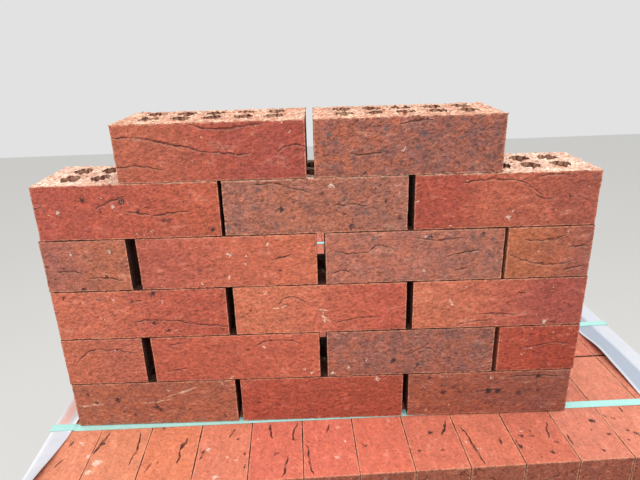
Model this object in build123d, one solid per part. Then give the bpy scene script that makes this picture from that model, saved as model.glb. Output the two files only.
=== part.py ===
from build123d import *
import os

# A strapped pack of perforated facing bricks with a small dry-laid panel of the same bricks on top.
# X runs along the front of the pack, Y from front to back, Z up. The origin is on the floor, under the
# middle of the whole object.

# The brick as fired, lying on its bed
BRICK_LENGTH = 215.0
BRICK_WIDTH = 102.5
BRICK_HEIGHT = 66.5

# The perforations: pointed ovals through the bed, their long way across the brick
HOLE_COLUMNS = 5
HOLE_ROWS = 2
HOLE_WIDTH = 25.0
HOLE_LENGTH = 31.0
HOLE_STRAIGHT = 16.0
HOLE_COLUMN_PITCH = BRICK_LENGTH / (HOLE_COLUMNS + 1)
HOLE_ROW_PITCH = 38.0

# How the pieces lie against each other
SEAT_GAP = 0.3
BLADE_GAP = 4.0

# The pack: bricks on edge, BLADES deep and BRICKS_ACROSS wide
BRICKS_ACROSS = 13
BLADES = 4
TIES_ACROSS = 4
TIE_LAYERS = 3
FORK_GROUPS = (2, 4, 2)
COURSES = ("header", "fork", "tie", "header", "header", "header", "tie", "header", "header", "header")

# The straps: one loop round each blade, at its distance from the blade's middle and its turn in degrees
STRAP_WIDTH = 12.5
STRAP_THICKNESS = 0.8
STRAP_RAMP = 4.0
STRAP_SHIFTS = (-1.5, -21.0, -4.0, 2.0)
STRAP_TURNS = (-1.0, 0.6, 0.5, -0.4)

# The edge protectors: folded strips over the left and right top edges
PROTECTOR_THICKNESS = 1.5
LEFT_TOP_LEG = 26.0
LEFT_SIDE_LEG = 71.0
RIGHT_TOP_LEG = 47.0
RIGHT_SIDE_LEG = 50.0

# The panel: its left foot from the pack's left and front edges, and its turn in degrees
PANEL_LEFT = 33.0
PANEL_FRONT = 115.0
PANEL_TURN = -2.25
HALF_BRICK_LENGTH = 102.5

# Each panel course from its left end: the first brick's start, then bricks and the open joints between
# them, W for a whole brick, L and R for a half brick that keeps its left or right fired end
PANEL_COURSES = (
    (1.0, "W", 6.0, "W", 6.5, "W"),
    (0.0, "L", 11.0, "W", 9.0, "W", 5.5, "R"),
    (0.5, "W", 8.0, "W", 7.0, "W"),
    (0.0, "L", 11.5, "W", 9.5, "W", 3.5, "R"),
    (3.0, "W", 3.5, "W", 7.0, "W"),
    (105.0, "W", 8.5, "W"),
)

COURSE_HEIGHT = BRICK_WIDTH + SEAT_GAP
ACROSS_PITCH = BRICK_HEIGHT + SEAT_GAP
BLADE_PITCH = BRICK_LENGTH + BLADE_GAP
PACK_WIDTH = BRICKS_ACROSS * ACROSS_PITCH - SEAT_GAP
PACK_DEPTH = BLADES * BLADE_PITCH - BLADE_GAP
PACK_BASE = STRAP_THICKNESS + SEAT_GAP
PACK_TOP = PACK_BASE + len(COURSES) * COURSE_HEIGHT - SEAT_GAP
TIE_PITCH = (PACK_WIDTH - BRICK_LENGTH) / (TIES_ACROSS - 1)
TIE_LAYER_PITCH = (BRICK_LENGTH - BRICK_HEIGHT) / (TIE_LAYERS - 1)
PANEL_BASE = PACK_TOP + STRAP_THICKNESS + 2 * SEAT_GAP
PANEL_COURSE_HEIGHT = BRICK_HEIGHT + SEAT_GAP
PACK_CORNER = Pos(-PACK_WIDTH / 2, -PACK_DEPTH / 2, 0)


def perforation():
    """One hole's outline: straight sides and a point at each end."""
    half_width = HOLE_WIDTH / 2
    half_straight = HOLE_STRAIGHT / 2
    half_length = HOLE_LENGTH / 2
    right = [(half_width, -half_straight), (half_width, half_straight), (0, half_length)]
    left = [(-x, -y) for x, y in right]
    return make_face(Polyline(*right, *left, close=True))


def perforated_brick():
    """A whole brick on its bed, with its lower left front corner at the origin."""
    bed = Rectangle(BRICK_LENGTH, BRICK_WIDTH)
    bed -= GridLocations(HOLE_COLUMN_PITCH, HOLE_ROW_PITCH, HOLE_COLUMNS, HOLE_ROWS) * perforation()
    return Pos(BRICK_LENGTH / 2, BRICK_WIDTH / 2, 0) * extrude(bed, BRICK_HEIGHT)


def half_brick(keeps_left_end):
    """Half a brick, cut through its middle holes, with its lower left front corner at the origin."""
    if keeps_left_end:
        return split(perforated_brick(), Plane.YZ.offset(HALF_BRICK_LENGTH), keep=Keep.BOTTOM)
    cut = BRICK_LENGTH - HALF_BRICK_LENGTH
    return Pos(-cut, 0, 0) * split(perforated_brick(), Plane.YZ.offset(cut), keep=Keep.TOP)


def corner_box(width, depth, height):
    """A plain block with its lower left front corner at the origin."""
    return Box(width, depth, height, align=Align.MIN)


def header_place(across, blade):
    """Where a brick stands with its end to the front: its place across the pack and its blade."""
    return Pos(across * ACROSS_PITCH, blade * BLADE_PITCH, 0)


def header_course(top):
    """Bricks with their ends to the front. Below the top course, a core stands for the hidden ones."""
    brick = corner_box(BRICK_HEIGHT, BRICK_LENGTH, BRICK_WIDTH)
    outer_bricks = (0, BRICKS_ACROSS - 1)
    outer_blades = (0, BLADES - 1)
    places = [(across, blade) for blade in range(BLADES) for across in range(BRICKS_ACROSS)]
    shown = [place for place in places if top or place[0] in outer_bricks or place[1] in outer_blades]
    bricks = [header_place(*place) * brick for place in shown]
    if not top:
        width = (BRICKS_ACROSS - 2) * ACROSS_PITCH - SEAT_GAP
        depth = (BLADES - 2) * BLADE_PITCH - BLADE_GAP
        bricks.append(header_place(1, 1) * corner_box(width, depth, BRICK_WIDTH))
    return bricks


def fork_course():
    """Bricks with their ends to the front, in groups with a pocket for a fork tine between them."""
    brick = corner_box(BRICK_HEIGHT, BRICK_LENGTH, BRICK_WIDTH)
    widths = [count * ACROSS_PITCH - SEAT_GAP for count in FORK_GROUPS]
    pocket = (PACK_WIDTH - sum(widths)) / (len(FORK_GROUPS) - 1)
    bricks = []
    for group, count in enumerate(FORK_GROUPS):
        start = sum(widths[:group]) + group * pocket
        for blade in range(BLADES):
            bricks += [Pos(start, 0, 0) * header_place(across, blade) * brick for across in range(count)]
    return bricks


def tie_course():
    """Bricks laid across the pack. The front and back ones show their perforated beds."""
    plain = corner_box(BRICK_LENGTH, BRICK_HEIGHT, BRICK_WIDTH)
    bed_to_front = Pos(0, BRICK_HEIGHT, 0) * Rot(90, 0, 0) * perforated_brick()
    layers = [blade * BLADE_PITCH + layer * TIE_LAYER_PITCH for blade in range(BLADES)
              for layer in range(TIE_LAYERS)]
    columns = [column * TIE_PITCH for column in range(TIES_ACROSS)]
    outer_layers = (layers[0], layers[-1])
    outer_columns = (columns[0], columns[-1])
    bricks = [Pos(x, y, 0) * bed_to_front for y in outer_layers for x in columns]
    bricks += [Pos(x, y, 0) * plain for y in layers[1:-1] for x in outer_columns]
    core_width = columns[-2] + BRICK_LENGTH - columns[1]
    core_depth = layers[-2] + BRICK_HEIGHT - layers[1]
    bricks.append(Pos(columns[1], layers[1], 0) * corner_box(core_width, core_depth, BRICK_WIDTH))
    return bricks


def pack_course(number):
    """All the bricks of one course of the pack, counted from 0 at the bottom."""
    kind = COURSES[number]
    if kind == "tie":
        bricks = tie_course()
    elif kind == "fork":
        bricks = fork_course()
    else:
        bricks = header_course(top=number == len(COURSES) - 1)
    place = PACK_CORNER * Pos(0, 0, PACK_BASE + number * COURSE_HEIGHT)
    return [place * brick for brick in bricks]


def panel_bricks(number):
    """The bricks of one course of the panel, from left to right, counted from 0 at the bottom."""
    pieces = {"W": perforated_brick(), "L": half_brick(True), "R": half_brick(False)}
    lengths = {"W": BRICK_LENGTH, "L": HALF_BRICK_LENGTH, "R": HALF_BRICK_LENGTH}
    foot = PACK_CORNER * Pos(PANEL_LEFT, PANEL_FRONT, PANEL_BASE) * Rot(0, 0, PANEL_TURN)
    x = 0.0
    bricks = []
    for step in PANEL_COURSES[number]:
        if step in pieces:
            bricks.append(foot * Pos(x, 0, number * PANEL_COURSE_HEIGHT) * pieces[step])
            x += lengths[step]
        else:
            x += step
    return bricks


def strap(blade):
    """One strap round its blade: under the bricks, up both sides and over the edge protectors."""
    seat = SEAT_GAP
    over = 2 * SEAT_GAP + PROTECTOR_THICKNESS
    left_edge = LEFT_TOP_LEG + seat
    right_edge = PACK_WIDTH - RIGHT_TOP_LEG - seat
    inside = make_face(Polyline(
        (-seat, PACK_BASE - seat),
        (-over, PACK_TOP - LEFT_SIDE_LEG),
        (-over, PACK_TOP + over),
        (left_edge, PACK_TOP + over),
        (left_edge + STRAP_RAMP, PACK_TOP + seat),
        (right_edge - STRAP_RAMP, PACK_TOP + seat),
        (right_edge, PACK_TOP + over),
        (PACK_WIDTH + over, PACK_TOP + over),
        (PACK_WIDTH + over, PACK_TOP - RIGHT_SIDE_LEG),
        (PACK_WIDTH + seat, PACK_BASE - seat),
        close=True,
    ))
    band = offset(inside, STRAP_THICKNESS, kind=Kind.INTERSECTION) - inside
    loop = extrude(Plane.XZ * Pos(-PACK_WIDTH / 2, 0, 0) * band, STRAP_WIDTH / 2, both=True)
    middle = blade * BLADE_PITCH + BRICK_LENGTH / 2 + STRAP_SHIFTS[blade] - PACK_DEPTH / 2
    return Pos(0, middle, 0) * Rot(0, 0, STRAP_TURNS[blade]) * loop


def edge_protector(top_leg, side_leg):
    """A strip folded over the pack's left top edge, its fold along the front to back."""
    wall = PROTECTOR_THICKNESS
    outline = make_face(Polyline(
        (top_leg, 0), (0, 0), (0, -side_leg), (-wall, -side_leg), (-wall, wall), (top_leg, wall), close=True))
    fold = outline.vertices().group_by(Axis.Y)[-1].sort_by(Axis.X)[0]
    section = fillet(fold, wall)
    seat = Pos(-PACK_WIDTH / 2 - SEAT_GAP, PACK_DEPTH / 2, PACK_TOP + SEAT_GAP)
    return seat * extrude(Plane.XZ * section, PACK_DEPTH)


def save(name, solids):
    """Write one node's solids as one STEP file."""
    shape = solids[0] if len(solids) == 1 else Compound(children=solids)
    shape.label = name
    export_step(shape, f"parts/{name}.step")


os.makedirs("parts", exist_ok=True)

for number in range(len(COURSES)):
    save(f"pack_course_{number + 1:02d}", pack_course(number))

for number in range(len(PANEL_COURSES)):
    for letter, brick in zip("abcd", panel_bricks(number)):
        save(f"panel_brick_{number + 1}{letter}", [brick])

for blade in range(BLADES):
    save(f"strap_{blade + 1}", [strap(blade)])

save("edge_protector_left", [edge_protector(LEFT_TOP_LEG, LEFT_SIDE_LEG)])
save("edge_protector_right", [mirror(edge_protector(RIGHT_TOP_LEG, RIGHT_SIDE_LEG), Plane.YZ)])
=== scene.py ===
import math
import random

import bpy
from mathutils import Matrix, Vector


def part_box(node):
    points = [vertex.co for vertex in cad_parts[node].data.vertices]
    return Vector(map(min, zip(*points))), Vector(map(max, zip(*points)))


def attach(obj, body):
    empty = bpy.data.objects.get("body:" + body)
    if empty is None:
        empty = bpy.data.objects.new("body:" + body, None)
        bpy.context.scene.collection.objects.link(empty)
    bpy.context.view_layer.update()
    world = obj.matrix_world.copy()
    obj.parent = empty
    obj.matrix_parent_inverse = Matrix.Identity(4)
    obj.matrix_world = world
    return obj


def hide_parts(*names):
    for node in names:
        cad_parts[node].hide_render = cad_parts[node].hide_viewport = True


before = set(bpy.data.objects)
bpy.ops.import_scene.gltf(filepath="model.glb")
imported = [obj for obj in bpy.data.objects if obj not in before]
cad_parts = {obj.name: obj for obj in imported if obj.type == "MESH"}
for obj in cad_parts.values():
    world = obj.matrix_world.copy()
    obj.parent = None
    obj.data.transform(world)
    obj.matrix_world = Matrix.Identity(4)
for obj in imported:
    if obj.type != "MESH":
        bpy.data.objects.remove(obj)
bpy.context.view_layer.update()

scene = bpy.context.scene
dice = random.Random(19)

# Camera

camera = {
    "place": (-0.0941, -0.9319, 1.5149),
    "pan": 2.45,                # degrees to the right of straight ahead
    "tilt": 20.69,              # degrees below the horizon
    "roll": 1.71,
    "lens": 30.34,
}


def addCamera():
    data = bpy.data.cameras.new("camera")
    data.lens = camera["lens"]
    data.sensor_width = 36
    data.clip_start = 0.01
    eye = bpy.data.objects.new("camera", data)
    turn = Matrix.Rotation(math.radians(-camera["pan"]), 4, "Z")
    turn = turn @ Matrix.Rotation(math.radians(90 - camera["tilt"]), 4, "X")
    turn = turn @ Matrix.Rotation(math.radians(-camera["roll"]), 4, "Z")
    eye.matrix_world = Matrix.Translation(camera["place"]) @ turn
    scene.collection.objects.link(eye)
    scene.camera = eye
    scene.view_settings.view_transform = "Standard"


addCamera()
print("camera set")

# Modelling helpers, which work with edges selected

bpy.context.tool_settings.mesh_select_mode = (False, True, False)


def pick(*objects):
    bpy.ops.object.select_all(action="DESELECT")
    for thing in objects:
        thing.select_set(True)
    bpy.context.view_layer.objects.active = objects[0]


# Leaves just the edges selected for which wanted(start, end) holds.
def selectEdges(block, wanted):
    mesh = block.data
    for part in (mesh.vertices, mesh.edges, mesh.polygons):
        part.foreach_set("select", [False] * len(part))
    for edge in mesh.edges:
        edge.select = wanted(*(mesh.vertices[i].co for i in edge.vertices))


# Cuts the edges that run along one axis into lengths of about one step.
def subdivideAlong(block, axis, step):
    selectEdges(block, lambda a, b: abs(b[axis] - a[axis]) > 0.9 * (b - a).length)
    longest = 0.0
    for edge in block.data.edges:
        if edge.select:
            start, end = (block.data.vertices[i].co[axis] for i in edge.vertices)
            longest = max(longest, abs(end - start))
    cuts = round(longest / step) - 1
    if cuts > 0:
        bpy.ops.object.mode_set(mode="EDIT")
        bpy.ops.mesh.subdivide(number_cuts=cuts)
        bpy.ops.object.mode_set(mode="OBJECT")


# A block at the origin with an even grid on every face.
def griddedBlock(name, size, step):
    bpy.ops.mesh.primitive_cube_add(size=1)
    block = bpy.context.object
    block.name = name
    bpy.ops.object.mode_set(mode="EDIT")
    bpy.ops.transform.resize(value=size)
    bpy.ops.object.mode_set(mode="OBJECT")
    for axis in range(3):
        subdivideAlong(block, axis, step)
    return block


def applyModifiers(thing):
    pick(thing)
    for modifier in list(thing.modifiers):
        bpy.ops.object.modifier_apply(modifier=modifier.name)


# A copy with its own mesh, set in place in its mesh.
def placedCopy(master, name, place):
    copy = master.copy()
    copy.data = master.data.copy()
    copy.name = name
    copy.data.name = name
    copy.data.transform(place)
    scene.collection.objects.link(copy)
    return copy


def remove(*objects):
    for thing in objects:
        bpy.data.objects.remove(thing, do_unlink=True)


def joined(name, pieces):
    pick(*pieces)
    bpy.ops.object.join()
    piece = bpy.context.object
    piece.name = name
    piece.data.name = name
    return piece


# Pushes the surface in and out along its normals by cloud noise.
def roughen(thing, name, size, strength, middle, group=None, depth=1):
    cloud = bpy.data.textures.get(name) or bpy.data.textures.new(name, "CLOUDS")
    cloud.noise_scale = size
    cloud.noise_depth = depth
    push = thing.modifiers.new(name, "DISPLACE")
    push.texture = cloud
    push.texture_coords = "GLOBAL"
    push.strength = strength
    push.mid_level = middle
    if group:
        push.vertex_group = group


def setFloat(thing, name, values):
    thing.data.attributes.new(name, "FLOAT", "POINT").data.foreach_set("value", values)


def setFinish(thing, *materials):
    slots = thing.data.materials
    for number, material in enumerate(materials):
        if number < len(slots):
            slots[number] = material
        else:
            slots.append(material)


# Materials


# Short ways to add and link nodes in one material.
class Shader:
    def __init__(self, name):
        self.material = bpy.data.materials.new(name)
        self.material.use_nodes = True
        self.nodes = self.material.node_tree.nodes
        self.links = self.material.node_tree.links
        self.surface = self.nodes["Principled BSDF"]

    def feed(self, node, socket, value):
        if isinstance(value, bpy.types.NodeSocket):
            self.links.new(value, node.inputs[socket])
        else:
            node.inputs[socket].default_value = value

    def add(self, kind, outlet, settings, **inlets):
        node = self.nodes.new(kind)
        for key, value in settings.items():
            setattr(node, key, value)
        for key, value in inlets.items():
            self.feed(node, key.replace("_", " "), value)
        return node.outputs[outlet]

    def attribute(self, name, outlet=2):
        return self.add("ShaderNodeAttribute", outlet, {"attribute_name": name})

    # What a brick adds to its noise, so that no two look alike.
    def seed(self):
        return self.times(self.attribute("brickSeed"), 40.0)

    def split(self, vector):
        return self.add("ShaderNodeSeparateXYZ", 0, {}, Vector=vector).node.outputs

    def math(self, operation, *values, kind="ShaderNodeMath", outlet=0):
        node = self.nodes.new(kind)
        node.operation = operation
        for socket, value in enumerate(values):
            self.feed(node, socket, value)
        return node.outputs[outlet]

    def vectorMath(self, operation, *values, outlet=0):
        return self.math(operation, *values, kind="ShaderNodeVectorMath", outlet=outlet)

    def times(self, a, b):
        return self.math("MULTIPLY", a, b)

    def larger(self, a, b):
        return self.math("MAXIMUM", a, b)

    # Value from low to high, stretched to toLow..toHigh and kept inside them.
    def span(self, value, low, high, toLow=0.0, toHigh=1.0):
        return self.add("ShaderNodeMapRange", 0, {}, Value=value, From_Min=low, From_Max=high,
                        To_Min=toLow, To_Max=toHigh)

    # Darkens and brightens a colour as value goes from low to high.
    def shaded(self, body, value, low, high, dark, bright):
        grey = self.span(value, low, high, dark, bright)
        grey = self.add("ShaderNodeCombineColor", 0, {}, Red=grey, Green=grey, Blue=grey)
        return self.mix(1.0, body, grey, "MULTIPLY")

    def mix(self, factor, a, b, blend="MIX"):
        node = self.nodes.new("ShaderNodeMix")
        node.data_type = "RGBA"
        node.blend_type = blend
        self.feed(node, 0, factor)
        self.feed(node, 6, a)
        self.feed(node, 7, b)
        return node.outputs[2]

    def stretch(self, vector, scale=(1, 1, 1), turn=(0, 0, 0)):
        turned = self.add("ShaderNodeMapping", 0, {}, Vector=vector, Rotation=turn)
        return self.add("ShaderNodeMapping", 0, {}, Vector=turned, Scale=scale)

    def noise(self, vector, scale, detail=2.0, seed=0.0, rough=0.5):
        return self.add("ShaderNodeTexNoise", 0, {"noise_dimensions": "4D"}, Vector=vector, Scale=scale,
                        Detail=detail, Roughness=rough, W=seed)

    # Soft round specks in a random share of cells, each up to radius cells wide.
    def specks(self, vector, scale, share, radius):
        away = self.add("ShaderNodeTexVoronoi", "Distance", {}, Vector=vector, Scale=scale)
        draw = self.add("ShaderNodeSeparateColor", 0, {}, Color=away.node.outputs["Color"]).node.outputs
        reach = self.span(draw[1], 0.0, 1.0, radius * 0.35, radius)
        speck = self.span(self.math("SUBTRACT", reach, away), 0.0, radius * 0.4)
        return self.times(self.math("LESS_THAN", draw[0], share), speck)

    # Soft marks at given places on the face, each with its own radius.
    def spots(self, place, marks):
        total = 0.0
        for x, z, radius in marks:
            away = self.vectorMath("DISTANCE", place, (x, 0.0, z), outlet=1)
            total = self.larger(self.span(away, radius, radius * 0.45), total)
        return total

    # Gives the material its colour and its bumps.
    def finish(self, body, roughness, height, depth, strength=1.0, specular=0.5):
        bump = self.add("ShaderNodeBump", 0, {}, Height=height, Distance=depth, Strength=strength)
        self.feed(self.surface, "Base Color", body)
        self.feed(self.surface, "Roughness", roughness)
        self.feed(self.surface, "Specular IOR Level", specular)
        self.feed(self.surface, "Normal", bump)
        return self.material


# A screen colour, 0 to 255, as the linear values that a shader takes.
def colour(red, green, blue):
    linear = []
    for part in (red, green, blue):
        share = part / 255
        linear.append(share / 12.92 if share <= 0.04045 else ((share + 0.055) / 1.055) ** 2.4)
    return (*linear, 1.0)


brick = {
    "size": (0.215, 0.1025, 0.0665),
    "columns": 5,
    "rows": 2,
    "hole": (0.025, 0.031),
    "rowPitch": 0.038,
    "holeStep": 0.008,                  # how finely the holes' walls are cut up along their depth
    "skin": 0.0004,                     # what lies nearer to a side than this is on it
    "chipReach": 0.004,                 # how far from the edges the chips go
}
faceSize = (brick["size"][0], brick["size"][2])
faceSlot, bedSlot, wallSlot, endSlot = range(4)

clay = {
    "flake": colour(240, 208, 180),
    "worn": colour(238, 172, 138),
    "lime": colour(246, 226, 206),
    "iron": colour(62, 42, 42),
    "blue": colour(100, 90, 94),
    "glow": colour(222, 120, 78),
    # painted shade in the grooves of folds, tears and cracks, for thin and for thick folds
    "foldShade": (0.40, 0.32, 0.32, 1),    # what the bottom of a fold keeps of the colour
    "thickFoldShade": (0.12, 0.09, 0.09, 1),     # the same where the folds are thick
    "foldWidth": (0.0010, 0.0004),      # half of it: what the middle has more than the tips, and the tips
    "foldWobble": 0.0018,
    "wear": (0.0022, 0.0006),           # how far from an edge it begins, and how near it is full
    "grain": 0.30,                      # how much darker and brighter the sand is
    "lumps": 0.16,
    "bump": 0.0040,
}


# Long thin folds in the dragged skin. Each runs from x, z to x, z, in shares of the face from its lower
# left corner, and bows up by the fifth number. Gives the fold, for painted shade, and the band below
# it, for a painted highlight.
def creaseLines(shade, place, creases, size, thick=1.0):
    across, depth, up = shade.split(place)
    wobble = clay["foldWobble"]
    height = shade.math("ADD", up, shade.span(shade.noise(place, 75.0), 0.3, 0.7, -wobble, wobble))
    front = shade.math("LESS_THAN", depth, 0.0)
    shown = shade.times(shade.span(shade.noise(place, 130.0, 1.0), 0.36, 0.56, 0.5, 1.0), front)
    middle, tip = (width * thick for width in clay["foldWidth"])
    fold = lipHighlight = 0.0
    for startX, startZ, endX, endZ, bow in creases:
        along = shade.span(across, (startX - 0.5) * size[0], (endX - 0.5) * size[0])
        arch = shade.times(shade.times(along, 4.0), shade.math("SUBTRACT", 1.0, along))
        level = shade.span(along, 0.0, 1.0, (startZ - 0.5) * size[1], (endZ - 0.5) * size[1])
        level = shade.math("MULTIPLY_ADD", arch, bow * size[1], level)
        above = shade.math("SUBTRACT", height, level)
        width = shade.math("MULTIPLY_ADD", arch, middle, tip)
        line = shade.span(shade.math("ABSOLUTE", above), shade.times(width, 0.35), width, 1.0, 0.0)
        rim = shade.times(shade.span(above, -0.0030, -0.0010), shade.span(above, 0.0, -0.0008))
        ends = shade.span(arch, 0.0, 0.15)
        fold = shade.larger(shade.times(line, ends), fold)
        lipHighlight = shade.larger(shade.times(rim, ends), lipHighlight)
    return shade.times(fold, shown), shade.times(lipHighlight, shown)


# Fine cracks along the brick, at random places.
def crackLines(shade, place, seed, cracks):
    flat = shade.stretch(place, (0.16, 1.0, 1.0), (0, math.radians(5), 0))
    away = shade.math("ABSOLUTE", shade.math("SUBTRACT", shade.noise(flat, 55.0, 2.0, seed, 0.45), 0.5))
    width = shade.span(shade.noise(flat, 70.0, 1.0, seed), 0.55 - cracks, 0.75 - cracks, 0.0, 0.022)
    line = shade.span(away, 0.0, shade.math("ADD", width, 0.0001), 1.0, 0.0)
    return shade.times(line, shade.span(width, 0.001, 0.006))


# Where two sides of a brick meet.
def edgeWear(shade, place, size):
    begins, full = clay["wear"]
    near = []
    for away, side in zip(shade.split(place), (size[0], brick["size"][1], size[1])):
        near.append(shade.span(shade.math("ABSOLUTE", away), side / 2 - begins, side / 2 - full))
    edges = [shade.math("MINIMUM", near[a], near[b]) for a, b in ((0, 1), (1, 2), (0, 2))]
    return shade.larger(shade.larger(edges[0], edges[1]), edges[2])


# The dragged skin of a brick, in its own coordinates. tones are its colours from its left end to its
# right end, or else from brick to brick by their tone. creases, wisps, dark, pale and blue are single
# marks. iron, flakes and burnt are the shares of cells with such a spot, and cracks says how many there
# are. grain is how rough the skin is, and thick how wide its folds are.
def brickFace(name, tones, byPlace, size, creases=(), wisps=(), dark=(), pale=(), blue=(), iron=0.03,
              flakes=0.11, burnt=0.0, cracks=0.0, grain=1.0, thick=1.0):
    shade = Shader(name)
    place = shade.attribute("ownPlace", 1)
    seed = shade.seed()

    # the body colour drifts along the brick and in patches
    if byPlace:
        along = shade.span(shade.split(place)[0], -size[0] / 2, size[0] / 2)
        reach = 0.15
    else:
        along = shade.attribute("brickTone")
        reach = 0.14
    drift = shade.span(shade.noise(place, 11.0, 2.0, seed), 0.3, 0.7, -reach, reach)
    body = shade.add("ShaderNodeValToRGB", 0, {}, Fac=shade.math("ADD", along, drift))
    stops = body.node.color_ramp.elements
    tones = tones if len(tones) > 1 else tones * 2
    for number, tone in enumerate(tones):
        spot = (number + 0.5) / len(tones)
        stop = stops[number] if number < 2 else stops.new(spot)
        stop.position = spot
        stop.color = colour(*tone)

    # dragged streaks, then a sandy grain that leans a little
    streaks = shade.noise(shade.stretch(place, (0.42, 1.0, 1.0)), 110.0, 4.0, seed, 0.65)
    body = shade.shaded(body, streaks, 0.3, 0.7, 0.84, 1.14)
    body = shade.mix(shade.span(streaks, 0.58, 0.74, 0.0, 0.22), body, clay["flake"])
    lean = (0, 0.3, 0)
    sand = shade.noise(shade.stretch(place, (0.7, 1.0, 1.0), lean), 400.0, 3.0, seed, 0.7)
    lumps = shade.noise(shade.stretch(place, (0.75, 1.0, 1.0), lean), 260.0, 2.0, seed)
    mottle = shade.span(shade.noise(place, 85.0, 3.0, seed, 0.6), 0.40, 0.60)
    fired = 0.07 + burnt * 0.5
    glowing = shade.mix(fired * 0.6, body, clay["glow"])
    body = shade.mix(mottle, shade.mix(fired, body, clay["blue"]), glowing)
    deep = clay["grain"] * grain
    rise = clay["lumps"] * min(1.0, grain)
    body = shade.shaded(body, sand, 0.34, 0.66, 1 - deep, 1 + deep)
    body = shade.shaded(body, lumps, 0.3, 0.7, 1 - rise, 1 + rise)
    body = shade.mix(shade.times(shade.span(sand, 0.41, 0.33), 0.3 * grain), body, clay["iron"])

    # every spot has a ragged edge
    bent = shade.add("ShaderNodeTexNoise", 1, {}, Vector=place, Scale=420.0, Detail=2.0)
    bent = shade.vectorMath("SUBTRACT", bent, (0.5, 0.5, 0.5))
    ragged = shade.vectorMath("MULTIPLY_ADD", bent, (0.006, 0.006, 0.006), place)
    frayed = shade.vectorMath("MULTIPLY_ADD", bent, (0.011, 0.011, 0.011), place)
    scattered = shade.vectorMath("ADD", ragged, seed)

    # folds and tears: bumps, with painted shade in their grooves
    tears = shade.specks(shade.stretch(scattered, (0.3, 1.0, 1.0)), 150.0, 0.06, 0.22)
    if cracks:
        tears = shade.larger(tears, crackLines(shade, place, seed, cracks))
    if creases:
        fold, lipHighlight = creaseLines(shade, place, creases, size, thick)
        tears = shade.larger(tears, fold)
        # a painted highlight on the band below each fold
        body = shade.mix(shade.times(lipHighlight, 0.16), body, clay["flake"])
    # painted shade in the grooves of the folds, tears and cracks
    body = shade.mix(tears, body, clay["thickFoldShade"] if thick > 1 else clay["foldShade"], "MULTIPLY")
    if wisps:
        scratch = creaseLines(shade, place, wisps, size)[0]
        scratch = shade.times(scratch, shade.span(sand, 0.4, 0.6, 0.2, 1.0))
        body = shade.mix(scratch, body, clay["flake"])

    # random fire marks, iron spots and pale sand: scale, share, radius and strength
    if burnt:
        spots = shade.specks(scattered, 75.0, burnt, 0.30)
        spots = shade.times(spots, shade.span(sand, 0.42, 0.56, 1.0, 0.2))
        body = shade.mix(shade.times(spots, 0.85), body, clay["blue"])
    for scale, share, radius, strength, tint in ((125.0, iron, 0.17, 0.8, "iron"),
                                                 (120.0, flakes, 0.12, 0.9, "flake"),
                                                 (300.0, 0.22, 0.24, 0.45, "flake")):
        spots = shade.specks(scattered, scale, share, radius)
        body = shade.mix(shade.times(spots, strength), body, clay[tint])

    # single marks: strength, tint and by how much they are larger than listed
    for listed, strength, tint, grow in ((blue, 0.75, "blue", 1.0), (dark, 1.0, "iron", 1.5),
                                         (pale, 0.72, "lime", 1.0)):
        if listed:
            marks = [((x - 0.5) * size[0], (z - 0.5) * size[1], radius * grow / 1000)
                     for x, z, radius in listed]
            spots = shade.spots(shade.stretch(frayed, (1.0, 0.0, 1.0)), marks)
            spots = shade.times(spots, shade.span(sand, 0.36, 0.54, 0.65, 1.0))
            body = shade.mix(shade.times(spots, strength), body, clay[tint])
    wear = shade.times(edgeWear(shade, place, size), shade.span(sand, 0.42, 0.60, 0.1, 0.6))
    body = shade.mix(wear, body, clay["worn"])

    relief = shade.math("MULTIPLY_ADD", lumps, 0.9, sand)
    relief = shade.math("MULTIPLY_ADD", streaks, 0.6, relief)
    relief = shade.math("SUBTRACT", relief, shade.times(tears, 0.5))
    return shade.finish(body, 0.9, relief, clay["bump"] * min(1.0, grain), specular=0.3)


# The wire-cut bed: pale, crumbly and torn. Its tones are those of crumbs, pits and hollows.
def bedFace(name, *tones):
    crumb, pit, hollow = (colour(*tone) for tone in tones)
    shade = Shader(name)
    place = shade.attribute("ownPlace", 1)
    seed = shade.seed()
    crumbs = shade.noise(place, 260.0, 3.0, seed, 0.75)
    lumps = shade.noise(place, 70.0, 2.0, seed)
    body = shade.mix(shade.span(crumbs, 0.42, 0.58), pit, crumb)
    body = shade.mix(shade.span(lumps, 0.42, 0.62, 0.0, 0.65), body, pit)
    pits = shade.specks(place, 170.0, 0.5, 0.45)
    body = shade.mix(shade.times(pits, shade.span(crumbs, 0.35, 0.5, 1.0, 0.3)), body, hollow)
    return shade.finish(body, 0.95, shade.math("SUBTRACT", crumbs, pits), 0.004, specular=0.2)


# Inside a perforation: smooth dragged clay, darker but for its last 7 mm.
def holeWall():
    shade = Shader("perforationWall")
    place = shade.attribute("ownPlace", 1)
    drag = shade.noise(shade.stretch(place, (1.0, 1.0, 0.2)), 260.0)
    body = shade.mix(shade.span(drag, 0.3, 0.7), colour(112, 64, 50), colour(150, 92, 72))
    top = brick["size"][2] / 2
    nearBed = shade.span(shade.split(place)[2], top - 0.007, top, 0.0, 0.9)
    body = shade.mix(shade.times(nearBed, shade.span(drag, 0.4, 0.55)), body, colour(214, 172, 142))
    return shade.finish(body, 0.9, drag, 0.0008, 0.7)


paleBed = bedFace("paleBed", (252, 236, 214), (212, 156, 132), (132, 80, 62))
openBed = bedFace("openBed", (246, 216, 188), (192, 128, 104), (118, 68, 54))
bedMaterial = bedFace("brickBed", (196, 152, 124), (140, 84, 66), (84, 46, 38))
# beds in the joints: the bed's colours darkened by painted shade
shadedJointBed = bedFace("shadedJointBed", (92, 56, 46), (70, 40, 34), (48, 28, 24))
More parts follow.
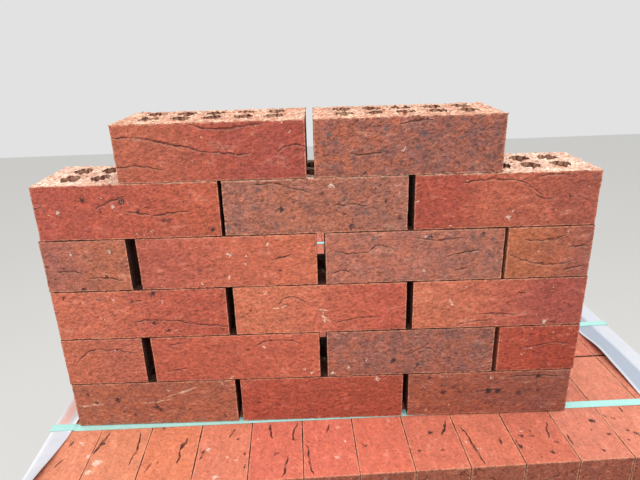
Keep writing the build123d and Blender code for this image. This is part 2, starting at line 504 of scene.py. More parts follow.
# ends inside the panel's vertical joints: darkened by painted shade
shadedInnerEnd = bedFace("shadedInnerEnd", (104, 58, 46), (84, 44, 36), (60, 32, 28))
holeMaterial = holeWall()
packTones = [(196, 98, 84), (208, 107, 89), (214, 116, 97), (218, 126, 103), (220, 136, 111)]
packFace = brickFace("packFace", packTones, False, faceSize, iron=0.06, flakes=0.10, cracks=0.04, grain=0.5)
# the ends of the pack's bricks: the clay darkened by painted shade; the hidden cores take this finish too
shadedEndTones = [(140, 70, 52), (150, 79, 59), (158, 86, 64)]
shadedPackEnd = brickFace("shadedPackEnd", shadedEndTones, False, faceSize, iron=0.06, flakes=0.06, cracks=0.04)

# Bricks. A master lies on its bed with its middle at the origin and its face to the front.


# Cuts the oval perforations through a block, with their walls cut up along their depth.
def cutHoles(block, sides, depthStep):
    length, _, height = brick["size"]
    cutters = []
    for column in range(brick["columns"]):
        for row in range(brick["rows"]):
            x = (column - (brick["columns"] - 1) / 2) * length / (brick["columns"] + 1)
            y = (row - (brick["rows"] - 1) / 2) * brick["rowPitch"]
            bpy.ops.mesh.primitive_cylinder_add(vertices=sides, radius=0.5, depth=1, location=(x, y, 0))
            cutter = bpy.context.object
            bpy.ops.object.mode_set(mode="EDIT")
            bpy.ops.transform.resize(value=(*brick["hole"], height * 1.2), center_override=(x, y, 0))
            bpy.ops.object.mode_set(mode="OBJECT")
            subdivideAlong(cutter, 2, depthStep)
            cutters.append(cutter)
    holes = joined("holes", cutters)
    cut = block.modifiers.new("holes", "BOOLEAN")
    cut.operation = "DIFFERENCE"
    cut.solver = "EXACT"
    cut.object = holes
    applyModifiers(block)
    remove(holes)


# Each vertex keeps its place in the brick as it lies at the origin, for the materials.
def keepPlaces(block):
    places = block.data.attributes
    own = places.get("ownPlace") or places.new("ownPlace", "FLOAT_VECTOR", "POINT")
    own.data.foreach_set("vector", [number for vertex in block.data.vertices for number in vertex.co])


# Gives a brick its own coordinates, a finish for each kind of face, and the vertex groups to roughen:
# its top bed, the rims of its holes there, and chipped near all of its edges.
def markBrick(block):
    half = [side / 2 for side in brick["size"]]
    slots = []
    for face in block.data.polygons:
        onEnd, onFace, onBed = (half[i] - abs(face.center[i]) < brick["skin"] for i in range(3))
        slots.append(bedSlot if onBed else endSlot if onEnd else faceSlot if onFace else wallSlot)
    setFinish(block, packFace, bedMaterial, holeMaterial, shadedPackEnd)
    block.data.polygons.foreach_set("material_index", slots)
    keepPlaces(block)
    bed = block.vertex_groups.new(name="bed")
    chipped = block.vertex_groups.new(name="chipped")
    rim = block.vertex_groups.new(name="rim")
    onTop = set()
    for vertex in block.data.vertices:
        near = [max(0.0, 1 - (half[i] - abs(vertex.co[i])) / brick["chipReach"]) for i in range(3)]
        edge = sorted(near)[1]
        if edge > 0:
            chipped.add([vertex.index], edge, "REPLACE")
        if half[2] - vertex.co.z < brick["skin"]:
            bed.add([vertex.index], 1.0, "REPLACE")
            onTop.add(vertex.index)
    for face in block.data.polygons:
        if face.material_index == wallSlot:
            rim.add([i for i in face.vertices if i in onTop], 1.0, "REPLACE")


# Half a brick, cut across its middle holes, that keeps its left end (-1) or its right end (1).
def halfBrick(whole, name, side):
    length, width, _ = brick["size"]
    half = placedCopy(whole, name, Matrix.Identity(4))
    pick(half)
    bpy.ops.object.mode_set(mode="EDIT")
    bpy.ops.mesh.select_all(action="SELECT")
    cutAt = side * (length / 2 - width)
    bpy.ops.mesh.bisect(plane_co=(cutAt, 0, 0), plane_no=(side, 0, 0), use_fill=True, clear_inner=True)
    bpy.ops.object.mode_set(mode="OBJECT")
    half.data.transform(Matrix.Translation((-side * (length - width) / 2, 0, 0)))
    keepPlaces(half)
    return half


def brickMaster(name, step, sides=0):
    block = griddedBlock(name, brick["size"], step)
    if sides:
        cutHoles(block, sides, max(step, brick["holeStep"]))
    markBrick(block)
    return block


panelMaster = brickMaster("panelMaster", 0.0034, 24)
leftMaster = halfBrick(panelMaster, "leftMaster", -1)
rightMaster = halfBrick(panelMaster, "rightMaster", 1)
panelEnds = {}
for master in (panelMaster, leftMaster, rightMaster):
    panelEnds[master.name] = [face.center.x if face.material_index == endSlot else 0.0
                              for face in master.data.polygons]
print("panel masters made", len(panelMaster.data.polygons))

# The panel. Each brick has its colours from left to right, its creases and wisps as x, z to x, z and bow,
# and its spots as x, z and radius in mm. x and z are shares of the face from its lower left corner.
# The reliefs are size, push, the value that stays put, vertex group and depth of the noise.

panel = {
    "turn": -2.25,
    "lastInCourse": ("1c", "2d", "3c", "4d", "5c", "6b"),
    "openBeds": ("5a", "5c", "6a", "6b"),
    "wave": (0.04, 0.0008, 0.6),
    "rim": (0.006, 0.0060, 0.36, "rim", 2),
    "openBed": (0.005, 0.0050, 0.48, "bed", 2),
    "chips": (0.008, 0.0012, 1.0, "chipped", 2),
}

panelLooks = {
    "1a": {"tones": [(180, 106, 80), (174, 100, 76), (176, 102, 76)], "burnt": 0.18, "iron": 0.22,
           "wisps": [(0.4, 0.52, 0.62, 0.58, 0), (0.56, 0.62, 0.78, 0.86, 0.02),
                     (0.64, 0.72, 0.74, 0.8, 0), (0.02, 0.48, 0.18, 0.52, 0)],
           "dark": [(0.27, 0.63, 3), (0.14, 0.55, 2), (0.09, 0.75, 2), (0.92, 0.14, 2), (0.36, 0.25, 2),
                    (0.5, 0.42, 3), (0.52, 0.36, 2.5), (0.7, 0.33, 1.5)],
           "pale": [(0.46, 0.24, 1.6), (0.58, 0.8, 1.2), (0.92, 0.9, 2), (0.31, 0.42, 1)]},
    "1b": {"tones": [(182, 86, 66), (176, 84, 64), (172, 82, 62)], "iron": 0.02,
           "pale": [(0.84, 0.92, 3.4), (0.31, 0.6, 1), (0.32, 0.25, 1.2), (0.64, 0.46, 1)]},
    "1c": {"tones": [(166, 92, 68), (158, 88, 68), (146, 84, 68)], "burnt": 0.15, "iron": 0.2,
           "creases": [(0.4, 0.52, 0.6, 0.56, 0.04), (0.62, 0.86, 0.95, 0.84, 0.03)],
           "dark": [(0.13, 0.9, 2.2), (0.21, 0.7, 2), (0.22, 0.55, 3), (0.28, 0.66, 2), (0.32, 0.54, 2),
                    (0.5, 0.55, 3.8), (0.56, 0.54, 3.6), (0.69, 0.48, 3), (0.8, 0.86, 3), (0.81, 0.54, 2)],
           "pale": [(0.51, 0.85, 2), (0.1, 0.7, 1.3), (0.12, 0.12, 1.6), (0.24, 0.92, 1.2),
                    (0.84, 0.12, 1.3)]},
    "2a": {"tones": [(194, 108, 82), (188, 104, 82)], "half": True,
           "creases": [(0.14, 0.48, 0.5, 0.76, 0.1), (0.45, 0.76, 0.92, 0.66, 0.04)]},
    "2b": {"tones": [(190, 96, 74), (194, 98, 75), (198, 102, 78)], "iron": 0.02,
           "creases": [(0.6, 0.76, 0.88, 0.8, 0.08), (0.09, 0.76, 0.2, 0.86, 0.02),
                       (0.07, 0.22, 0.2, 0.3, 0)],
           "pale": [(0.67, 0.72, 2), (0.46, 0.06, 1.8), (0.95, 0.1, 2.4), (0.9, 0.18, 2)]},
    "2c": {"tones": [(164, 100, 83), (158, 98, 82), (152, 94, 80)], "burnt": 0.35, "grain": 1.3, "iron": 0.14,
           "creases": [(0.48, 0.42, 0.66, 0.48, 0.12)],
           "dark": [(0.4, 0.32, 3), (0.55, 0.2, 2)],
           "blue": [(0.4, 0.34, 4), (0.56, 0.22, 4), (0.33, 0.8, 3), (0.5, 0.88, 4), (0.6, 0.86, 3),
                    (0.72, 0.8, 4), (0.08, 0.46, 3), (0.88, 0.62, 3)],
           "pale": [(0.23, 0.36, 2), (0.13, 0.2, 2.6), (0.03, 0.08, 2.6), (0.16, 0.34, 1.2)]},
    "2d": {"tones": [(178, 80, 60), (170, 72, 54), (164, 70, 52)], "iron": 0.02, "half": True,
           "creases": [(0.28, 0.5, 0.88, 0.58, 0.06)],
           "pale": [(0.3, 0.38, 1.6)]},
    "3a": {"tones": [(202, 110, 84), (192, 98, 77), (186, 90, 70)], "burnt": 0.06, "iron": 0.06,
           "creases": [(0.44, 0.32, 0.74, 0.33, 0.05), (0.7, 0.34, 0.99, 0.22, -0.03),
                       (0.44, 0.74, 0.52, 0.78, 0)],
           "dark": [(0.58, 0.92, 3.4), (0.07, 0.88, 1.8), (0.46, 0.78, 2), (0.57, 0.32, 3),
                    (0.64, 0.14, 2.6)],
           "pale": [(0.35, 0.82, 1.4), (0.63, 0.76, 1.6)]},
    "3b": {"tones": [(208, 118, 88), (200, 106, 82), (192, 94, 74)], "iron": 0.01,
           "creases": [(0.25, 0.6, 0.42, 0.62, 0.16), (0.6, 0.2, 0.84, 0.3, 0.03)],
           "wisps": [(0.22, 0.52, 0.31, 0.6, 0), (0.47, 0.5, 0.55, 0.46, 0), (0.5, 0.36, 0.56, 0.22, 0)],
           "pale": [(0.51, 0.34, 2.2), (0.515, 0.42, 1.6), (0.52, 0.26, 2.4), (0.5, 0.48, 1.2),
                    (0.19, 0.86, 2.2)]},
    "3c": {"tones": [(202, 114, 86), (188, 98, 78), (166, 82, 70)], "iron": 0.02,
           "creases": [(0.26, 0.08, 0.48, 0.15, 0.02), (0.4, 0.3, 0.62, 0.26, 0)],
           "pale": [(0.78, 0.08, 4), (0.22, 0.6, 2), (0.23, 0.52, 1.6), (0.3, 0.86, 1.6), (0.5, 0.12, 1.4)]},
    "4a": {"tones": [(168, 101, 86), (177, 104, 83), (182, 106, 80)], "burnt": 0.1, "iron": 0.12,
           "half": True,
           "creases": [(0.5, 0.26, 0.9, 0.18, 0.05), (0.1, 0.4, 0.46, 0.36, 0.03)],
           "dark": [(0.03, 0.52, 2.2), (0.72, 0.3, 1.6), (0.42, 0.04, 2.6)],
           "pale": [(0.35, 0.76, 2), (0.8, 0.78, 2.2)]},
    "4b": {"tones": [(186, 96, 78), (196, 104, 80), (202, 110, 82)], "iron": 0.02,
           "creases": [(0.74, 0.52, 0.86, 0.6, 0)],
           "pale": [(0.73, 0.84, 2.4), (0.51, 0.64, 3), (0.6, 0.62, 1.4), (0.6, 0.46, 1.6),
                    (0.4, 0.38, 1.2), (0.34, 0.1, 1.6), (0.5, 0.2, 2.4)]},
    "4c": {"tones": [(180, 110, 90), (174, 108, 90), (166, 104, 86)], "burnt": 0.28, "grain": 1.2,
           "iron": 0.16,
           "creases": [(0.05, 0.63, 0.25, 0.61, -0.02), (0.23, 0.6, 0.38, 0.66, 0.1),
                       (0.68, 0.48, 0.86, 0.58, 0.02), (0.73, 0.2, 0.82, 0.22, 0.02),
                       (0.03, 0.2, 0.14, 0.22, 0.05), (0.5, 0.86, 0.78, 0.84, -0.04)],
           "blue": [(0.87, 0.88, 4.4), (0.94, 0.8, 3.4), (0.68, 0.85, 4), (0.58, 0.86, 3)],
           "dark": [(0.88, 0.9, 2), (0.59, 0.88, 1.6)],
           "pale": [(0.56, 0.88, 1.8), (0.97, 0.36, 1.4), (0.56, 0.22, 2)]},
    "4d": {"tones": [(180, 104, 72), (174, 98, 72), (158, 90, 76)], "iron": 0.04, "half": True,
           "creases": [(0.18, 0.78, 0.68, 0.84, -0.08), (0.02, 0.5, 0.82, 0.34, -0.14),
                       (0.7, 0.56, 0.94, 0.6, 0.02), (0.68, 0.12, 0.94, 0.2, 0.02)],
           "pale": [(0.36, 0.52, 1.4), (0.7, 0.9, 1.4)]},
    "5a": {"tones": [(182, 88, 72), (186, 90, 70), (188, 94, 70)], "burnt": 0.05, "iron": 0.05,
           "creases": [(0.33, 0.58, 0.5, 0.76, 0.02), (0.48, 0.54, 0.6, 0.46, -0.02),
                       (0.58, 0.46, 0.84, 0.5, -0.03), (0, 0.58, 0.05, 0.66, 0)],
           "dark": [(0.27, 0.74, 2.2), (0.48, 0.7, 3.6), (0.36, 0.52, 1.6), (0.69, 0.32, 2),
                    (0.72, 0.32, 2), (0.95, 0.14, 3), (0.56, 0.5, 2)],
           "pale": [(0.37, 0.76, 1.6), (0.43, 0.6, 2.8), (0.13, 0.52, 2.6), (0.62, 0.12, 1.4),
                    (0.48, 0.69, 1.2)]},
    "5b": {"tones": [(168, 106, 88), (172, 106, 84), (164, 104, 86)], "burnt": 0.3, "grain": 1.3,
           "iron": 0.22,
           "creases": [(0.14, 0.9, 0.36, 0.88, 0.05), (0.32, 0.88, 0.48, 0.72, 0.03),
                       (0.6, 0.5, 0.78, 0.46, 0.04)],
           "dark": [(0.31, 0.46, 2.4), (0.82, 0.76, 1.8), (0.88, 0.56, 1.6), (0.65, 0.34, 1.6),
                    (0.69, 0.1, 2.4)],
           "blue": [(0.31, 0.46, 4.6), (0.2, 0.82, 3.2), (0.03, 0.14, 3.4), (0.69, 0.12, 4), (0.88, 0.66, 3)],
           "pale": [(0.59, 0.86, 3), (0.46, 0.12, 1.6), (0.95, 0.7, 1.4)]},
    "5c": {"tones": [(172, 80, 64), (186, 98, 74), (168, 88, 70)],
           "creases": [(0.26, 0.86, 0.56, 0.86, 0.03), (0.54, 0.86, 0.68, 0.58, 0.06),
                       (0.65, 0.6, 0.76, 0.54, -0.06), (0.66, 0.9, 0.8, 0.96, 0.02)],
           "dark": [(0.84, 0.56, 1.6)],
           "blue": [(0.96, 0.88, 3.4)],
           "pale": [(0.52, 0.2, 3.4), (0.54, 0.28, 2), (0.02, 0.52, 1.6), (0.2, 0.06, 1.4)]},
    "6a": {"tones": [(186, 101, 77), (178, 87, 69), (168, 80, 67)],
           "creases": [(0, 0.8, 0.34, 0.62, 0.03), (0.28, 0.64, 0.46, 0.54, 0.02),
                       (0.4, 0.57, 0.72, 0.47, -0.04), (0.85, 0.47, 1, 0.52, 0.08),
                       (0, 0.28, 0.26, 0.2, 0.05), (0.4, 0.96, 0.8, 0.99, -0.09)],
           "pale": [(0.92, 0.8, 1.4), (0.88, 0.97, 1.6), (0.38, 0.7, 1), (0.4, 0.36, 1.2)]},
    "6b": {"tones": [(160, 94, 75), (156, 94, 78), (148, 90, 76)], "burnt": 0.4, "grain": 1.4, "iron": 0.1,
           "creases": [(0.19, 0.42, 0.36, 0.42, -0.04), (0.44, 0.88, 0.62, 0.92, 0.02)],
           "blue": [(0.08, 0.74, 4), (0.05, 0.6, 3), (0.12, 0.6, 2.6), (0.26, 0.68, 3), (0.38, 0.81, 4),
                    (0.57, 0.7, 5), (0.58, 0.92, 3), (0.55, 0.48, 5), (0.46, 0.24, 3), (0.37, 0.13, 3),
                    (0.27, 0.07, 3), (0.04, 0.22, 3), (0.1, 0.2, 3), (0.82, 0.36, 3), (0.92, 0.31, 3),
                    (0.21, 0.46, 2.4), (0.77, 0.62, 3)],
           "dark": [(0.58, 0.93, 1.6), (0.46, 0.24, 1.6), (0.27, 0.07, 1.6)],
           "pale": [(0.47, 0.45, 2.4)]},
}


def panelBrick(code, look):
    node = "panel_brick_" + code
    low, high = (Vector(corner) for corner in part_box(node))
    place = Matrix.Translation((low + high) / 2) @ Matrix.Rotation(math.radians(panel["turn"]), 4, "Z")
    length, width, height = brick["size"]
    master = panelMaster
    if look.pop("half", False):
        master = leftMaster if code[1] == "a" else rightMaster
        length = width
    piece = placedCopy(master, "brick_" + code, place)
    face = brickFace("brickFace_" + code, byPlace=True, size=(length, height), **look)
    hidden = code[0] in "1234"
    # the beds of courses 1 to 4 lie in joints and take the bed darkened by painted shade
    bedFinish = shadedJointBed if hidden else openBed if code[0] == "6" else paleBed
    setFinish(piece, face, bedFinish, holeMaterial, shadedInnerEnd)
    # the outer ends of each course, and in the top course all ends, take the face's finish; the other ends
    # keep the painted shade of the joints
    outwards = (code[1] == "a") * -1 + (code in panel["lastInCourse"])
    for part, own in zip(piece.data.polygons, panelEnds[master.name]):
        if own * outwards > 0 or code[0] == "6" and own:
            part.material_index = faceSlot
    setFloat(piece, "brickSeed", [dice.random()] * len(piece.data.vertices))
    reliefs = ("wave", "rim", "openBed", "chips") if code in panel["openBeds"] else ("wave", "chips")
    for name in reliefs:
        roughen(piece, name, *panel[name])
    applyModifiers(piece)
    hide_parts(node)
    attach(piece, "root")


for code, look in panelLooks.items():
    panelBrick(code, look)
remove(panelMaster, leftMaster, rightMaster)
print("panel laid")

# The pack: bricks on edge, laid by courses

# The front row of its top, from the left. On these bricks x runs to the back and z to the left.

frontRow = [
    {"tones": [(225, 142, 110)],
     "creases": [(0.36, 0.51, 0.41, 0.46, 0), (0.19, 0.56, 0.26, 0.5, 0)],
     "pale": [(0.39, 0.29, 3), (0.37, 0.24, 2), (0.27, 0.03, 3.4)]},
    {"tones": [(222, 140, 106)],
     "creases": [(0.28, 0.97, 0.47, 0.82, 0), (0.3, 0.96, 0.42, 0.86, 0.02), (0.17, 0.2, 0.46, 0.21, -0.03)],
     "pale": [(0.217, 0.82, 6.6), (0.144, 0.91, 4.4)],
     "dark": [(0.217, 0.82, 1.2), (0.37, 0.86, 2)]},
    {"tones": [(222, 133, 98)],
     "creases": [(0.27, 0.33, 0.38, 0.26, -0.02), (0.29, 0.32, 0.35, 0.29, 0), (0.17, 0.32, 0.27, 0.33, 0),
                 (0.12, 0.87, 0.19, 0.79, 0)],
     "pale": [(0.445, 0.58, 1.5)], "dark": [(0.48, 0.77, 1.5)]},
    {"tones": [(220, 131, 103)],
     "creases": [(0.19, 0.93, 0.27, 0.87, 0), (0.36, 0.42, 0.44, 0.33, 0)],
     "pale": [(0.27, 0.8, 3.4), (0.17, 0.24, 2), (0.05, 0.58, 4), (0.2, 0.4, 2)],
     "dark": [(0.346, 0.25, 1.5), (0.25, 0.88, 1.5)]},
    {"tones": [(216, 116, 94)],
     "creases": [(0.33, 0.6, 0.46, 0.655, 0), (0.3, 0.19, 0.46, 0.06, 0.05), (0.02, 0.37, 0.18, 0.27, 0)],
     "pale": [(0.095, 0.19, 1.8), (0.33, 0.86, 1.4)], "dark": [(0.2, 0.5, 2), (0.31, 0.18, 2)]},
    {"tones": [(218, 116, 94)],
     "creases": [(0.35, 0.53, 0.43, 0.44, 0), (0.02, 0.835, 0.26, 0.93, 0)],
     "pale": [(0.4, 0.29, 2.4), (0.27, 0.19, 2.6), (0.14, 0.37, 2.4)], "dark": [(0.045, 0.25, 1.4)]},
    {"tones": [(217, 116, 92)],
     "pale": [(0.43, 0.26, 2)], "dark": [(0.22, 0.83, 2)]},
    {"tones": [(210, 116, 92)],
     "creases": [(0.27, 0.3, 0.4, 0.12, 0)],
     "dark": [(0.3, 0.52, 2.6), (0.35, 0.19, 1.8), (0.148, 0.385, 1.8), (0.153, 0.84, 1.5)],
     "pale": [(0.236, 0.45, 1.6)]},
    {"tones": [(210, 118, 92)],
     "creases": [(0.015, 0.755, 0.34, 0.9, -0.04), (0.165, 0.24, 0.22, 0.25, 0)],
     "pale": [(0.205, 0.89, 1.5), (0.14, 0.735, 1.6), (0.095, 0.565, 1.8)]},
    {"tones": [(204, 112, 88)],
     "creases": [(0.19, 0.32, 0.335, 0.17, 0), (0.14, 0.96, 0.2, 0.98, 0)],
     "dark": [(0.136, 0.94, 2.6), (0.225, 0.81, 2), (0.22, 0.615, 2), (0.155, 0.225, 1.6), (0.08, 0.41, 2.4)],
     "pale": [(0.265, 0.755, 1.5)]},
    {"tones": [(212, 127, 103)],
     "creases": [(0.12, 0.96, 0.22, 0.95, 0)],
     "dark": [(0.316, 0.26, 3.6), (0.067, 0.46, 1.6), (0.2, 0.15, 2), (0.24, 0.4, 1.4)]},
    {"tones": [(219, 134, 108)],
     "creases": [(0.38, 0.51, 0.43, 0.5, 0)],
     "dark": [(0.357, 0.96, 2), (0.325, 0.81, 2), (0.22, 0.735, 2), (0.186, 0.61, 2.8), (0.14, 0.85, 2)]},
    {"tones": [(217, 130, 104)],
     "creases": [(0.2, 0.4, 0.34, 0.3, 0)],
     "dark": [(0.36, 0.8, 2), (0.25, 0.5, 1.6), (0.1, 0.3, 1.5)]},
]

pack = {
    "across": 13,
    "deep": 4,
    "acrossPitch": 0.0668,
    "deepPitch": 0.219,
    "tieAcross": 4,
    "tieLayers": 3,
    "forkGroups": (2, 4, 2),
    "tieCoreGap": (0.003, 0.008),       # between the core and the bricks round it
    "courses": ("header", "fork", "tie", "header", "header", "header", "tie", "header", "header", "header"),
    "topTones": (0.45, 0.95),
    "lowTones": (0.25, 0.85),
    "packWave": (0.05, 0.0008, 0.8),
    "packChips": (0.012, 0.0012, 0.85, "chipped", 2),
}
topMaster = brickMaster("topMaster", 0.0085)
topSideMaster = brickMaster("topSideMaster", 0.0125, 16)
lowMaster = brickMaster("lowMaster", 0.034)
lowSideMaster = brickMaster("lowSideMaster", 0.034, 12)
endToFront = Matrix(((0, 0, -1, 0), (1, 0, 0, 0), (0, -1, 0, 0), (0, 0, 0, 1)))
bedToFront = Matrix(((1, 0, 0, 0), (0, 0, 1, 0), (0, -1, 0, 0), (0, 0, 0, 1)))


# A copy of a master on edge, with its lower left front corner at a corner.
def packBrick(master, corner, lay, tone, face=None):
    length, width, height = brick["size"]
    size = Vector((height, length, width)) if lay == endToFront else Vector((length, height, width))
    piece = placedCopy(master, "packBrick", Matrix.Translation(Vector(corner) + size / 2) @ lay)
    if face:
        setFinish(piece, face)
    setFloat(piece, "brickSeed", [dice.random()] * len(piece.data.vertices))
    setFloat(piece, "brickTone", [tone] * len(piece.data.vertices))
    return piece


# Bricks with their ends to the front. Below the top, a core fills the middle.
def headerCourse(low, high, isTop):
    bricks = []
    for deep in range(pack["deep"]):
        for across in range(pack["across"]):
            onSide = across in (0, pack["across"] - 1)
            if not (isTop or onSide or deep in (0, pack["deep"] - 1)):
                continue
            corner = (low.x + across * pack["acrossPitch"], low.y + deep * pack["deepPitch"], low.z)
            masters = (topMaster, topSideMaster) if isTop else (lowMaster, lowSideMaster)
            face = None
            if isTop and deep == 0:
                face = brickFace(f"frontFace_{across + 1}", byPlace=True, size=faceSize, iron=0.06,
                                 grain=0.5, thick=1.5, **frontRow[across])
            tone = dice.uniform(*pack["topTones" if isTop else "lowTones"])
            bricks.append(packBrick(masters[onSide], corner, endToFront, tone, face))
    return bricks


# Bricks with their ends to the front, in groups beside the two fork pockets.
def forkCourse(low, high):
    gap = pack["acrossPitch"] - brick["size"][2]
    widths = [count * pack["acrossPitch"] - gap for count in pack["forkGroups"]]
    pocket = (high.x - low.x - sum(widths)) / (len(widths) - 1)
    bricks = []
    for group, count in enumerate(pack["forkGroups"]):
        start = low.x + sum(widths[:group]) + group * pocket
        for across in range(count):
            for deep in range(pack["deep"]):
                corner = (start + across * pack["acrossPitch"], low.y + deep * pack["deepPitch"], low.z)
                tone = dice.uniform(*pack["lowTones"])
                bricks.append(packBrick(lowSideMaster, corner, endToFront, tone))
    return bricks


# Bricks across the pack, with their beds to the front and the back.
def tieCourse(low, high):
    length, _, height = brick["size"]
    acrossPitch = (high.x - low.x - length) / (pack["tieAcross"] - 1)
    layerPitch = (length - height) / (pack["tieLayers"] - 1)
    lastLayer = pack["deep"] * pack["tieLayers"] - 1
    bricks = []
    for layer in range(lastLayer + 1):
        deep, within = divmod(layer, pack["tieLayers"])
        y = low.y + deep * pack["deepPitch"] + within * layerPitch
        for across in range(pack["tieAcross"]):
            onFace = layer in (0, lastLayer)
            if onFace or across in (0, pack["tieAcross"] - 1):
                corner = (low.x + across * acrossPitch, y, low.z)
                master = lowSideMaster if onFace else lowMaster
                tone = dice.uniform(*pack["lowTones"])
                bricks.append(packBrick(master, corner, bedToFront, tone))
    return bricks


# A plain block in the middle of a course, for the bricks that nothing shows.
def addCore(low, high, inset):
    middle = (low + high) / 2
    size = high - low
    bpy.ops.mesh.primitive_cube_add(size=1, location=middle)
    core = bpy.context.object
    core.name = "core"
    bpy.ops.object.mode_set(mode="EDIT")
    bpy.ops.transform.resize(value=(size.x - inset[0] * 2, size.y - inset[1] * 2, size.z),
                             center_override=middle)
    bpy.ops.object.mode_set(mode="OBJECT")
    setFinish(core, shadedPackEnd)
    return core


def packCourse(number, kind):
    node = f"pack_course_{number:02d}"
    low, high = (Vector(corner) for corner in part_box(node))
    isTop = number == len(pack["courses"])
    length, _, height = brick["size"]
    if kind == "fork":
        bricks = forkCourse(low, high)
    elif kind == "tie":
        bricks = tieCourse(low, high)
        acrossGap, deepGap = pack["tieCoreGap"]
        bricks.append(addCore(low, high, (length + acrossGap, height + deepGap)))
    else:
        bricks = headerCourse(low, high, isTop)
        if not isTop:
            bricks.append(addCore(low, high, (pack["acrossPitch"], pack["deepPitch"])))
    piece = joined(f"course_{number:02d}", bricks)
    for name in ("packWave", "packChips"):
        roughen(piece, name, *pack[name])
    applyModifiers(piece)
    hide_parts(node)
    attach(piece, "root")


for number, kind in enumerate(pack["courses"], 1):
    packCourse(number, kind)
remove(topMaster, topSideMaster, lowMaster, lowSideMaster)
print("pack laid")

# Straps and edge protectors

plastic = {
    "strap": colour(172, 226, 218),
    "sheet": colour(206, 208, 214),
    # painted shade on the bent-up inner part of the right sheet
    "grey": colour(161, 170, 183),
    # painted shade on the faces of a sheet that look down
    "under": colour(112, 116, 122),
    # painted highlight along the free edges and along the left sheet's fold
    "rim": colour(250, 250, 252),
    "pressed": colour(226, 178, 166),
    "step": 0.006,
    "thickness": 0.0012,
    "strapsAt": (-0.330, -0.1305, 0.1055, 0.3305),
    "strapRoom": 0.008,                 # how far the outer straps hold a sheet down
    "liftOver": 0.10,                   # how far on from there it stands off in full
    "sheets": {
        "left": {"side": -1, "topLeg": 0.026, "sideLeg": 0.071, "rise": 0.009, "curl": 0.011},
        "right": {"side": 1, "topLeg": 0.058, "sideLeg": 0.050, "rise": 0.007, "curl": 0.0},
    },
}


def strapMaterial():
    shade = Shader("strap")
    place = shade.add("ShaderNodeTexCoord", 3, {})
    diagonal = shade.stretch(place, turn=(0, 0, 0.785))
    knurl = shade.add("ShaderNodeTexChecker", 1, {}, Vector=diagonal, Scale=900.0)
    dirt = shade.noise(place, 90.0, 3.0)
    body = shade.mix(shade.span(dirt, 0.35, 0.75, 0.0, 0.35), plastic["strap"], colour(150, 206, 197))
    return shade.finish(body, 0.38, knurl, 0.00012, 0.5)


def sheetMaterial():
    shade = Shader("sheet")
    place = shade.add("ShaderNodeTexCoord", 3, {})
    haze = shade.noise(place, 60.0, 3.0)
    body = shade.mix(shade.span(haze, 0.35, 0.7, 0.0, 0.5), plastic["sheet"], colour(194, 199, 209))
    # painted shade on the bent-up inner part of the right sheet's top leg
    body = shade.mix(shade.attribute("curlShade"), body, plastic["grey"])
    # painted highlight along the free edges and the left sheet's fold
    body = shade.mix(shade.attribute("rim"), body, plastic["rim"])
    # painted shade on the faces that look down, to darken the gaps beneath the lifted edges
    facing = shade.split(shade.add("ShaderNodeNewGeometry", 1, {}))
    body = shade.mix(shade.span(facing[2], -0.3, -0.6), body, plastic["under"])
    pressed = shade.times(shade.attribute("pressed"), shade.span(haze, 0.30, 0.46))
    body = shade.mix(pressed, body, plastic["pressed"])
    return shade.finish(body, 0.45, haze, 0.002, 0.5)


strapMade = strapMaterial()
sheetMade = sheetMaterial()
for number in range(1, pack["deep"] + 1):
    setFinish(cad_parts[f"strap_{number}"], strapMade)


# How far the free edge of a sheet stands off between the straps, as a share.
def lift(y):
    straps = plastic["strapsAt"]
    beyond = max(straps[0] - y, y - straps[-1])
    if beyond > 0:
        return min(1.0, max(0.0, (beyond - plastic["strapRoom"]) / plastic["liftOver"]))
    for near, far in zip(straps, straps[1:]):
        if near <= y <= far:
            return max(0.0, math.sin(math.pi * (y - near) / (far - near))) ** 1.6
    return 0.0


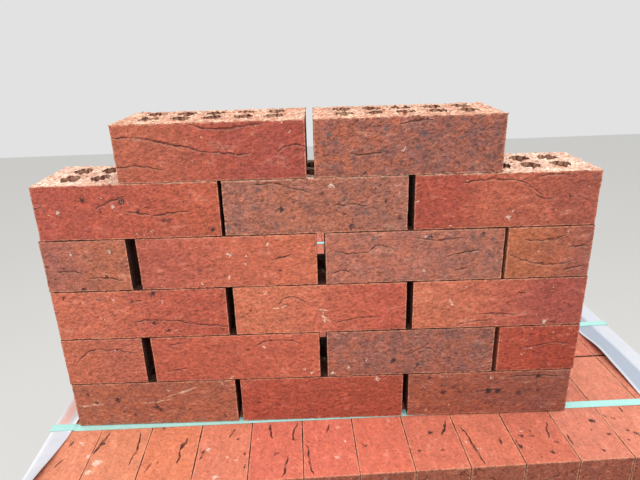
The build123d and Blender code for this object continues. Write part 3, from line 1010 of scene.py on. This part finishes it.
# A thin sheet folded over the left (-1) or right (1) top edge, with its free edge lifted by rise between
# the straps and shifted by curl.
def edgeSheet(which, side, topLeg, sideLeg, rise, curl):
    node = "edge_protector_" + which
    low, high = (Vector(corner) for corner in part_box(node))
    outside = low.x if side < 0 else high.x
    bpy.ops.mesh.primitive_plane_add(size=1)
    sheet = bpy.context.object
    sheet.name = "sheet_" + which
    bpy.ops.object.mode_set(mode="EDIT")
    bpy.ops.transform.resize(value=(topLeg, high.y - low.y, 1))
    bpy.ops.object.mode_set(mode="OBJECT")
    selectEdges(sheet, lambda a, b: a.x * side > 0 and b.x * side > 0)
    bpy.ops.object.mode_set(mode="EDIT")
    bpy.ops.mesh.extrude_region_move(TRANSFORM_OT_translate={"value": (0, 0, -sideLeg)})
    bpy.ops.object.mode_set(mode="OBJECT")
    for axis in range(3):
        subdivideAlong(sheet, axis, plastic["step"])
    thin = plastic["thickness"] + 0.0001
    middle = (outside - side * (topLeg / 2 + thin), (low.y + high.y) / 2, high.z - thin)
    sheet.data.transform(Matrix.Translation(middle))
    firstStrap = plastic["strapsAt"][0]
    rims = []
    curlShade = []
    pressed = []
    for vertex in sheet.data.vertices:
        co = vertex.co
        inward = min(1.0, max(0.0, (outside - co.x) * side / topLeg))
        down = (high.z - co.z) / sideLeg
        onTop = down < 0.03
        raised = lift(co.y)
        wave = math.sin(co.y * 61 + 1.3) * 0.6 + math.sin(co.y * 23) * 0.4
        if onTop:
            co.z += rise * raised * inward ** 2 * (1 + 0.25 * wave)
            co.x += side * (curl if co.y < firstStrap else -curl) * raised * inward
        else:
            co.x -= side * 0.0004 * (1 + wave) * down
        # where the sheet gets its painted highlight, and how strong it is
        isRim = inward > 0.97 and (side > 0 or co.y > firstStrap) or side < 0 and inward < 0.1
        rims.append((0.5 if side > 0 or inward < 0.5 else 1.0) if isRim and onTop else 0.0)
        # painted shade toward the lifted free edge of the right sheet
        curlShade.append(min(1.0, max(0.0, (inward - 0.42) * 12)) if side > 0 and onTop else 0.0)
        isPressed = side < 0 and firstStrap < co.y < firstStrap + 0.16 and 0.1 < inward < 0.7
        pressed.append(float(isPressed))
    setFloat(sheet, "rim", rims)
    setFloat(sheet, "curlShade", curlShade)
    setFloat(sheet, "pressed", pressed)
    wall = sheet.modifiers.new("wall", "SOLIDIFY")
    wall.thickness = plastic["thickness"]
    wall.offset = 1
    applyModifiers(sheet)
    bpy.ops.object.mode_set(mode="EDIT")
    bpy.ops.mesh.select_all(action="SELECT")
    bpy.ops.mesh.normals_make_consistent(inside=False)
    bpy.ops.object.mode_set(mode="OBJECT")
    bpy.ops.object.shade_smooth_by_angle(angle=math.radians(40))
    setFinish(sheet, sheetMade)
    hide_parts(node)
    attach(sheet, "root")


for which, cut in plastic["sheets"].items():
    edgeSheet(which, **cut)
print("straps and sheets made")

# Floor, backdrop and light

studio = {
    "floor": colour(226, 225, 222),
    "floorSize": 14,
    "world": 0.76,
    "key": ((0.4, -1.2, 3.4), (0, -0.2, 1.0), 2.4, 54.0),       # place, target, size and power
    "fill": ((-1.2, -2.6, 2.4), (0, -0.2, 1.1), 2.0, 26.0),
}


def addFloor():
    bpy.ops.mesh.primitive_plane_add(size=studio["floorSize"], location=(0, 0, 0))
    floor = bpy.context.object
    floor.name = "floor"
    shade = Shader("floor")
    shade.feed(shade.surface, "Base Color", studio["floor"])
    shade.feed(shade.surface, "Roughness", 0.9)
    floor.data.materials.append(shade.material)


def addLight(name, place, target, size, power):
    data = bpy.data.lights.new(name, "AREA")
    data.size = size
    data.energy = power
    lamp = bpy.data.objects.new(name, data)
    way = Vector(target) - Vector(place)
    lamp.matrix_world = Matrix.Translation(place) @ way.to_track_quat("-Z", "Y").to_matrix().to_4x4()
    scene.collection.objects.link(lamp)


def addWorld():
    world = bpy.data.worlds.new("studio")
    world.use_nodes = True
    background = world.node_tree.nodes["Background"]
    background.inputs["Color"].default_value = (1, 1, 1, 1)
    background.inputs["Strength"].default_value = studio["world"]
    scene.world = world


addFloor()
addWorld()
for name in ("key", "fill"):
    addLight(name, *studio[name])
print("studio lit")
